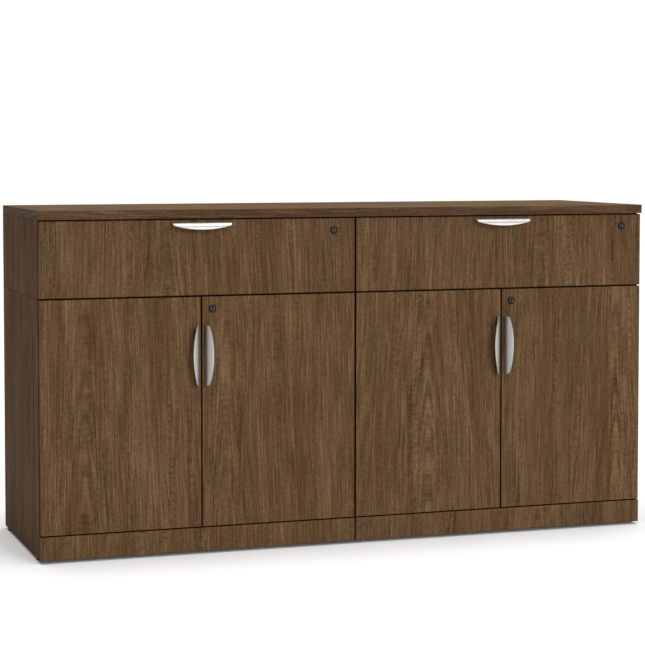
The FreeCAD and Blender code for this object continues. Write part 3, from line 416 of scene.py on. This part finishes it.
# painted shade: the posts are coloured dark so that they stay unseen in the pulls' shadow
SHADE_DARK_POST_ZINC = satin_finish("cast_zinc_posts", "#2c2c2d", "#3a3a3b", 0.7, (0.5, 0.62),
                         (1.5, 1.5, 1.5), 0.2)
NYLON = satin_finish("moulded_black_nylon", "#161616", "#222222", 0.0, (0.5, 0.65),
                     (1.2, 1.2, 1.2), 0.2)
FITTINGS = {
    "levelling_glides": NYLON, "_lock_body": LOCK_BLACK, "shelf_pins": ZINC,
    "hinge_arms": ZINC, "_hinge_cups": ZINC, "_members": ZINC, "lock_strikes": ZINC,
}
for ending, finish in FITTINGS.items():
    for node in [n for n in nodes if n.endswith(ending)]:
        paint(node, finish)
for joint in frame["joints"]:
    if joint["name"].endswith("_lock_turn"):
        x, _, z = joint["pos_m"]
        plug = joint["child"]
        paint(plug, satin_finish("dark_nickel_" + plug, "#444448", "#56565a", 1.0, (0.3, 0.45),
                                 (2, 2, 2), 0.1, keyhole=(x, z)))
print("kinds of fittings painted:", len(FITTINGS))

# %% [markdown]
# ## Meshes from arrays
# Every new piece is a grid of points worked out at once with numpy. `grid_faces` joins neighbouring
# points into quads, and `piece` puts points and quads into a mesh, merges what meets at seams and
# poles, and turns all faces outwards.

# %% Helpers for meshes
SHARP, WELD = math.radians(40), 0.005 * MM


def grid_faces(rows, columns, first=0):
    """Quads of a grid whose columns close into a ring.

    Each joins a point, the next one in its ring, and the two above them.
    """
    i, j = np.meshgrid(np.arange(rows - 1), np.arange(columns), indexing="ij")
    after = (j + 1) % columns
    low, high = i * columns, (i + 1) * columns
    quads = np.stack([low + j, low + after, high + after, high + j], -1)
    return quads.reshape(-1, 4) + first


def piece(name, points, quads, material, body, slot):
    """A mesh object at the origin, smooth but for its sharp edges, riding on its body."""
    mesh = bpy.data.meshes.new(name)
    mesh.from_pydata(points.reshape(-1, 3).tolist(), [], quads.tolist())
    shape = bmesh.new()
    shape.from_mesh(mesh)
    bmesh.ops.remove_doubles(shape, verts=shape.verts, dist=WELD)
    bmesh.ops.recalc_face_normals(shape, faces=shape.faces)
    shape.to_mesh(mesh)
    shape.free()
    mesh.shade_smooth()
    mesh.set_sharp_from_angle(angle=SHARP)
    mesh.materials.append(material)
    made = bpy.data.objects.new(name, mesh)
    bpy.context.scene.collection.objects.link(made)
    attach(made, body)
    return made if slot else made


print("a ring of 8 has", len(grid_faces(2, 8)), "quads")

# %% [markdown]
# ## Bow pulls
# Each pull is a half-moon awning: a thin shell, round from the front to its lip, and cut by a wide
# bow so that it thins out to both rounded tips. It could be a quarter tube cut by a boolean, but that
# leaves poor edges. Here the section is a closed loop: out along the shell's outside, round the lip,
# and back along its inside. The angle of both arcs is worked out at every station, so the lip follows
# the bow exactly, and the stations lie closer together towards the tips, where the bow turns fastest.

# %% Bow pulls
PULL_LENGTH, PULL_WIDTH, PULL_NECK, PULL_SHEET = 168 * MM, 19.5 * MM, 5.5 * MM, 2.6 * MM
# the lip's rounding is this deep, or at most this share of the drop where the shell is short
LIP_ROUND, LIP_SHARE = 1.1 * MM, 0.4
TIP_RADIUS, TIP_RISE = 8.5 * MM, 18.5 * MM
TIP_ALONG = PULL_LENGTH / 2 - TIP_RADIUS
# the bow touches both tip circles: its radius and the place of the touch follow from theirs
BOW_RADIUS = (TIP_RISE ** 2 + TIP_ALONG ** 2 - TIP_RADIUS ** 2) / (2 * (TIP_RISE - TIP_RADIUS))
BOW_HALF = TIP_ALONG * BOW_RADIUS / (BOW_RADIUS - TIP_RADIUS)
BOSS_SPACING, BOSS_DROP, BOSS_LENGTH, BOSS_RADIUS = 128 * MM, 7 * MM, 15 * MM, 3.5 * MM
STATIONS, ARC_STEPS, LIP_STEPS, BOSS_SIDES = 121, 25, 8, 32


def bow_drop(along):
    """How far the shell reaches down at a place along it.

    In the middle the bow rises by its radius minus the root of radius squared minus along squared.
    Beyond the place where they touch, it rises by the same rule for a tip's circle.
    """
    wide = BOW_RADIUS - np.sqrt(BOW_RADIUS ** 2 - along ** 2)
    beyond = np.clip(abs(along) - TIP_ALONG, 0, TIP_RADIUS)
    tip = TIP_RISE - np.sqrt(TIP_RADIUS ** 2 - beyond ** 2)
    return PULL_WIDTH - np.where(abs(along) < BOW_HALF, wide, tip)


def awning():
    """Points (station, loop, 3) as along, down and out.

    Both arcs turn from the neck until they are a lip's depth short of the bow: the angle's cosine is
    (width minus drop plus lip) over the radius. Half an ellipse joins their ends.
    """
    along = PULL_LENGTH / 2 * np.sin(np.linspace(-np.pi / 2, np.pi / 2, STATIONS))[:, None]
    drop = bow_drop(along)
    lip = np.minimum(LIP_ROUND, LIP_SHARE * drop)
    share = np.linspace(0, 1, ARC_STEPS)[None, :]

    def arc(radius):
        angle = share * np.arccos(np.clip((PULL_WIDTH - drop + lip) / radius, -1, 1))
        return PULL_WIDTH - radius * np.cos(angle), PULL_NECK + radius * np.sin(angle)

    outer_down, outer_out = arc(PULL_WIDTH)
    inner_down, inner_out = arc(PULL_WIDTH - PULL_SHEET)
    # towards the tips the bow cuts into the flat neck, and the inside ends there
    inner_down = np.minimum(inner_down, drop - lip)
    turn = np.linspace(0, np.pi, LIP_STEPS + 2)[None, 1:-1]
    ends = outer_out[:, -1:], inner_out[:, -1:]
    lip_down = drop - lip + lip * np.sin(turn)
    lip_out = (ends[0] + ends[1]) / 2 + (ends[0] - ends[1]) / 2 * np.cos(turn)
    root = np.zeros_like(along)
    down = np.hstack([root, outer_down, lip_down, inner_down[:, ::-1], inner_down[:, :1]])
    out = np.hstack([root, outer_out, lip_out, inner_out[:, ::-1], root])
    return np.stack([along + 0 * down, down, out], -1)


def bosses():
    """Two short posts behind the shell: rings of a circle at the front, the foot, and both centres."""
    angle = np.linspace(0, 2 * np.pi, BOSS_SIDES, endpoint=False)
    radius = np.array([0, 1, 1, 0])[:, None] * BOSS_RADIUS
    depth = np.array([0, 0, 1, 1])[:, None] * BOSS_LENGTH + 0 * angle
    post = np.stack([radius * np.cos(angle), BOSS_DROP + radius * np.sin(angle), depth], -1)
    shift = np.array([BOSS_SPACING / 2, 0, 0])
    return np.stack([post - shift, post + shift])


def straight_edge(node, lip):
    """The middle of a pull's straight edge, on the front it is screwed to."""
    lo, hi = (np.array(c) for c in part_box(node))
    start = np.where(lip > 0, lo, np.where(lip < 0, hi, (lo + hi) / 2))
    start[1] = hi[1]
    return start


def bow_pull(node, lip, material, body):
    """The awning and its posts, turned and set where the node has them.

    The drop points to the lip's side, and the straight edge lies on the node's straight edge.
    """
    out = np.array([0.0, -1.0, 0.0])
    axes = np.stack([np.cross(lip, out), lip, out])
    shell = awning()
    loop = shell.shape[1]
    outer, inner = np.arange(loop // 2), loop - 1 - np.arange(loop // 2)
    cap = np.stack([outer[:-1], outer[1:], inner[1:], inner[:-1]], -1)
    quads = [grid_faces(STATIONS, loop), cap, cap + (STATIONS - 1) * loop]
    origin = straight_edge(node, lip)
    name = node.replace("_pull", "_bow_pull")
    made = piece(name, shell @ axes + origin, np.vstack(quads), material, body, "satin_nickel")
    feet = np.vstack([grid_faces(4, BOSS_SIDES, k * 4 * BOSS_SIDES) for k in range(2)])
    piece(node + "_posts", bosses() @ axes + origin, feet, SHADE_DARK_POST_ZINC, body, "satin_nickel")
    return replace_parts(made, node)


DOWN, LEFT, RIGHT = np.array([0.0, 0, -1]), np.array([-1.0, 0, 0]), np.array([1.0, 0, 0])
PULLS = [(s + "_drawer", DOWN, SHADED_NICKEL_ACROSS) for s in ("left", "right")]
PULLS += [(s + "_cabinet_left_door", LEFT, NICKEL_UPRIGHT) for s in ("left", "right")]
PULLS += [(s + "_cabinet_right_door", RIGHT, NICKEL_UPRIGHT) for s in ("left", "right")]
for body, lip, metal in PULLS:
    made = bow_pull(body + "_pull", lip, metal, body)
    print(made.name, "faces:", len(made.data.polygons))

# %% [markdown]
# ## Screws
# Screws with a cross recess hold the pulls, the hinges, the strikes and the drawer fronts. The head is
# a height over a disc: a dome, less a cross-shaped pit whose depth fades towards the ends of its arms.
# Modelling threads would be wasted, because they are inside the wood.

# %% Cross-recess screw heads
HEAD_RINGS, HEAD_SIDES = 10, 24
# shares of the radius: half the cross's width, its reach, and the length over which it fades
CROSS_HALF, CROSS_REACH, CROSS_FADE = 0.17, 0.62, 0.3
# shares of the height: the rim, the dome on it, and the cross's depth
RIM_SHARE, DOME_SHARE, CROSS_SHARE = 0.55, 0.45, 0.6
# radius and height of the heads in mm
PULL_SCREW, PLATE_SCREW, ARM_SCREW = (4.2, 1.9), (4.0, 1.9), (2.8, 0.9)
CUP_SCREW, STRIKE_SCREW, FRONT_SCREW = (3.2, 0.7), (3.2, 1.4), (4.6, 2.0)


def screw_heads(places, facing, radius, height):
    """Heads at the given places, facing one way.

    Over a disc of rings and sides the height is a rim with a dome, 1 minus (r/R) to the fourth, less
    a cross: there the smaller of |x| and |y| is narrow, and the larger one inside the arms. Two more
    rings at no height, the rim's foot and the middle, close the head below.
    """
    r = np.concatenate([np.linspace(0, 1, HEAD_RINGS), [1.0, 0.0]])[:, None]
    angle = np.linspace(0, 2 * np.pi, HEAD_SIDES, endpoint=False)[None, :]
    x, y = r * np.cos(angle), r * np.sin(angle)
    across, along = np.minimum(abs(x), abs(y)), np.maximum(abs(x), abs(y))
    narrow = np.clip(1 - across / CROSS_HALF, 0, 1)
    inside = np.clip((CROSS_REACH - along) / CROSS_FADE, 0, 1)
    pit = narrow ** 0.5 * inside ** 0.5
    dome = RIM_SHARE + DOME_SHARE * (1 - r ** 4) - CROSS_SHARE * pit
    dome[-2:] = 0.0
    out = np.array(facing, float)
    side = np.array([0.0, 0.0, 1.0]) if abs(out[2]) < 0.5 else np.array([1.0, 0.0, 0.0])
    other = np.cross(out, side)
    head = (x[..., None] * side + y[..., None] * other) * radius + (dome[..., None] * height) * out
    heads = np.array(places, float)[:, None, None, :] + head[None]
    count = head.shape[0] * head.shape[1]
    quads = [grid_faces(head.shape[0], HEAD_SIDES, k * count) for k in range(len(places))]
    return heads, np.vstack(quads)


def screws(name, places, facing, size, body):
    """One piece that holds all the screws of a fitting; the size is a head's radius and height."""
    radius, height = size
    points, quads = screw_heads(places, facing, radius * MM, height * MM)
    made = piece(name, points, quads, ZINC, body, "zinc_steel")
    print(name, "heads:", len(places))
    return made


JOINTS = {j["name"]: j for j in frame["joints"]}
DOORS = [j["child"] for j in frame["joints"] if j["child"].endswith("_door")]
DRAWERS = ["left_drawer", "right_drawer"]
for body, lip, _ in PULLS:
    middle = straight_edge(body + "_pull", lip) + lip * BOSS_DROP
    middle[1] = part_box(body + ("_panel" if body in DOORS else "_front"))[1].y
    run = np.cross(lip, [0, 1, 0]) * BOSS_SPACING / 2
    screws(body + "_pull_screws", [middle - run, middle + run], (0, 1, 0), PULL_SCREW, body)

# hinge plates: one screw above and one below the arm, and one in the arm to set the door
HINGE_SETBACK, ARM_REACH, ARM_SHEET = 100 * MM, 14.5 * MM, 2.5 * MM
PLATE_BACK, PLATE_SCREW_RISE, ARM_SCREW_BACK = 43.4 * MM, 13.5 * MM, 36 * MM
for hand, name in ((1, "left"), (-1, "right")):
    plate_screws, arm_screws = [], []
    for door in [d for d in DOORS if d.endswith(name + "_door")]:
        axis = np.array(JOINTS[door + "_hinge"]["pos_m"])
        lo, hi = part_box(door + "_panel")
        for z in (lo.z + HINGE_SETBACK, hi.z - HINGE_SETBACK):
            x = axis[0] + hand * ARM_REACH
            for rise in (-PLATE_SCREW_RISE, PLATE_SCREW_RISE):
                plate_screws.append((x, axis[1] + PLATE_BACK, z + rise))
            arm_screws.append((x + hand * ARM_SHEET, axis[1] + ARM_SCREW_BACK, z))
    screws("hinge_plate_screws_" + name, plate_screws, (hand, 0, 0), PLATE_SCREW, "cabinet")
    screws("hinge_arm_screws_" + name, arm_screws, (hand, 0, 0), ARM_SCREW, "cabinet")

# each hinge cup is held by two flat screws in its flange
CUP_BACK, FLANGE_FACE, FLANGE_SCREW_RISE = 11.5 * MM, 13.7 * MM, 21.7 * MM
for door in DOORS:
    hand = 1 if door.endswith("left_door") else -1
    axis = np.array(JOINTS[door + "_hinge"]["pos_m"])
    lo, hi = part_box(door + "_panel")
    places = [(axis[0] + hand * CUP_BACK, axis[1] + FLANGE_FACE, z + rise)
              for z in (lo.z + HINGE_SETBACK, hi.z - HINGE_SETBACK)
              for rise in (-FLANGE_SCREW_RISE, FLANGE_SCREW_RISE)]
    screws(door + "_cup_screws", places, (0, 1, 0), CUP_SCREW, door)

# the strikes hang under the deck and the top rail, with two screws each
STRIKE_SCREW_BACK, STRIKE_SCREW_SPREAD, STRIKE_SHEET = 40.5 * MM, 10 * MM, 1.2 * MM
strike_screws = []
for joint in frame["joints"]:
    if joint["name"].endswith("_lock_turn"):
        x, y, _ = joint["pos_m"]
        deck = joint["parent"].split("_")[0] + "_cabinet_deck"
        board = "top_rails" if "drawer" in joint["name"] else deck
        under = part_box(board)[0].z - STRIKE_SHEET
        for spread in (-STRIKE_SCREW_SPREAD, STRIKE_SCREW_SPREAD):
            strike_screws.append((x + spread, y + STRIKE_SCREW_BACK, under))
screws("strike_screws", strike_screws, (0, 0, -1), STRIKE_SCREW, "cabinet")

# the drawer box is screwed to its front from inside, at four places
BOX_BOARD, FRONT_SCREW_INSET, FRONT_SCREW_RISE = 12 * MM, 90 * MM, 34 * MM
for drawer in DRAWERS:
    lo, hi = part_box(drawer + "_box_ends")
    y = lo.y + BOX_BOARD
    places = [(x, y, z) for x in (lo.x + FRONT_SCREW_INSET, hi.x - FRONT_SCREW_INSET)
              for z in (lo.z + FRONT_SCREW_RISE, hi.z - FRONT_SCREW_RISE)]
    screws(drawer + "_front_screws", places, (0, 1, 0), FRONT_SCREW, drawer)

# %% [markdown]
# ## Bumpers
# A soft clear dome at two corners of each door and four of each drawer front keeps it off the case
# and quiets its closing. It is half of a flattened ball: a quarter circle turned about its middle. It
# stays a little lower than the gap, so the closed front touches nothing.

# %% Bumpers
BUMPER_RADIUS, BUMPER_HEIGHT = 4 * MM, 2.6 * MM
# how far bumpers sit from a front's edges, and above a door's lower edge, where only a narrow strip
# of the bottom board lies behind them
BUMPER_INSET, BUMPER_LIFT = 9 * MM, 4 * MM
DOME_RINGS, DOME_SIDES = 9, 28
SOFT_BUMPER = satin_finish("soft_clear_bumper", "#b9b6ae", "#cfccc4", 0.0, (0.2, 0.32), (2, 2, 2), 0.05)


def domes(places):
    """Quarter circles turned about y: radius times sine outwards, height times cosine off the board.

    A last ring in the middle of the foot closes them below.
    """
    turn = np.linspace(0, np.pi / 2, DOME_RINGS)
    reach = np.append(BUMPER_RADIUS * np.sin(turn), 0)[:, None]
    rise = np.append(BUMPER_HEIGHT * np.cos(turn), 0)[:, None]
    angle = np.linspace(0, 2 * np.pi, DOME_SIDES, endpoint=False)[None, :]
    ball = np.stack([reach * np.cos(angle), rise + 0 * angle, reach * np.sin(angle)], -1)
    points = np.array(places)[:, None, None, :] + ball[None]
    count = (DOME_RINGS + 1) * DOME_SIDES
    quads = [grid_faces(DOME_RINGS + 1, DOME_SIDES, k * count) for k in range(len(places))]
    return points, np.vstack(quads)


for body in DOORS + DRAWERS:
    lo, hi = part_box(body + ("_panel" if body in DOORS else "_front"))
    if body in DOORS:
        x = hi.x - BUMPER_INSET if body.endswith("left_door") else lo.x + BUMPER_INSET
        places = [(x, hi.y, lo.z + BUMPER_LIFT), (x, hi.y, hi.z - BUMPER_INSET)]
    else:
        places = [(x, hi.y, z) for x in (lo.x + BUMPER_INSET, hi.x - BUMPER_INSET)
                  for z in (lo.z + 2 * BUMPER_INSET, hi.z - BUMPER_INSET)]
    points, quads = domes(places)
    piece(body + "_bumpers", points, quads, SOFT_BUMPER, body, None)
    print(body, "bumpers:", len(places))

# %% [markdown]
# ## Floor, light and camera
# A studio picture on white: a pale floor that runs out of view, a soft key light from the front
# right, a wider one overhead for the top and the floor, and an even white room for fill. The floor is
# paper on a light table: a faint glow from below keeps its shadows pale. The camera is far away with a
# long lens, a little above the top. It is tilted down a little, and the rest of the framing is a shift
# of the lens, so that uprights stay nearly upright. It could look straight at the middle instead, but
# then the uprights would lean.

# %% Stage and light
FLOOR_HALF, FLOOR_GLOW, CLOUDS_PER_METRE = 14.0, 0.07, 3.0
corners = np.array([(-1, -1, 0), (1, -1, 0), (1, 1, 0), (-1, 1, 0)], float) * FLOOR_HALF
floor_mesh = bpy.data.meshes.new("floor")
floor_mesh.from_pydata(corners.tolist(), [], [(0, 1, 2, 3)])
floor = bpy.data.objects.new("floor", floor_mesh)
bpy.context.scene.collection.objects.link(floor)
paper, tree = new_material("pale_paper_floor")
coord = add(tree, "TexCoord")
mottle = add(tree, "TexNoise", {"Vector": coord.outputs["Object"], "Scale": CLOUDS_PER_METRE,
                                "Detail": 2.0})
shade = add(tree, "ValToRGB", {0: mottle}, stops=[(0.3, "#dcdcdc"), (0.7, "#e0e0e0")])
shader = add(tree, "BsdfPrincipled", {"Base Color": shade, "Roughness": 0.9,
                                      "Specular IOR Level": 0.1, "Emission Color": (1, 1, 1, 1),
                                      "Emission Strength": FLOOR_GLOW})
finish_with(tree, shader)
floor_mesh.materials.append(paper)

# the room gives this much light, but the camera sees it as plain white
ROOM_FILL = 0.27
world = bpy.data.worlds.new("white_room")
bpy.context.scene.world = world
world.use_nodes = True
tree = world.node_tree
tree.nodes.clear()
path = add(tree, "LightPath")
fill = add(tree, "Background", {"Color": (1, 1, 1, 1), "Strength": ROOM_FILL})
seen = add(tree, "Background", {"Color": (1, 1, 1, 1), "Strength": 1.0})
both = add(tree, "MixShader", {0: path.outputs["Is Camera Ray"], 1: fill, 2: seen})
add(tree, "OutputWorld", {"Surface": both})

# light: where it comes from, its strength, and how many degrees of the sky it fills
LIGHTS = {
    "key_light": ((0.3, -0.8, 0.36), 1.43, 24),
    "overhead_light": ((0.05, 0.0, 1.0), 3.2, 40),
}
for name, ((x, y, z), strength, spread) in LIGHTS.items():
    sun = bpy.data.lights.new(name, "SUN")
    sun.energy, sun.angle = strength, math.radians(spread)
    lamp = bpy.data.objects.new(name, sun)
    bpy.context.scene.collection.objects.link(lamp)
    lamp.rotation_euler = (math.atan2(math.hypot(x, y), z), 0, math.atan2(x, -y))
bpy.context.scene.view_settings.view_transform = "Standard"
print("lights:", len(LIGHTS), "room fill:", ROOM_FILL)

# %% Camera
# fitted to the edges in the photograph: place in metres, angles in radians, lens and sensor in mm
CAMERA_PLACE = (-1.8968, -5.49892, 1.12351)
CAMERA_YAW, CAMERA_PITCH = 0.33091, -0.05159
CAMERA_LENS, CAMERA_SHIFT, SENSOR_WIDTH = 110.149, -0.1124, 36.0
VIEW_END = 100.0
lens = bpy.data.cameras.new("camera")
lens.sensor_width = SENSOR_WIDTH
lens.lens = CAMERA_LENS
lens.shift_y = CAMERA_SHIFT
lens.clip_end = VIEW_END
lens.dof.use_dof = False
camera = bpy.data.objects.new("camera", lens)
bpy.context.scene.collection.objects.link(camera)
camera.location = CAMERA_PLACE
camera.rotation_euler = (math.pi / 2 + CAMERA_PITCH, 0, -CAMERA_YAW)
bpy.context.scene.camera = camera
print("camera lens in mm:", CAMERA_LENS)
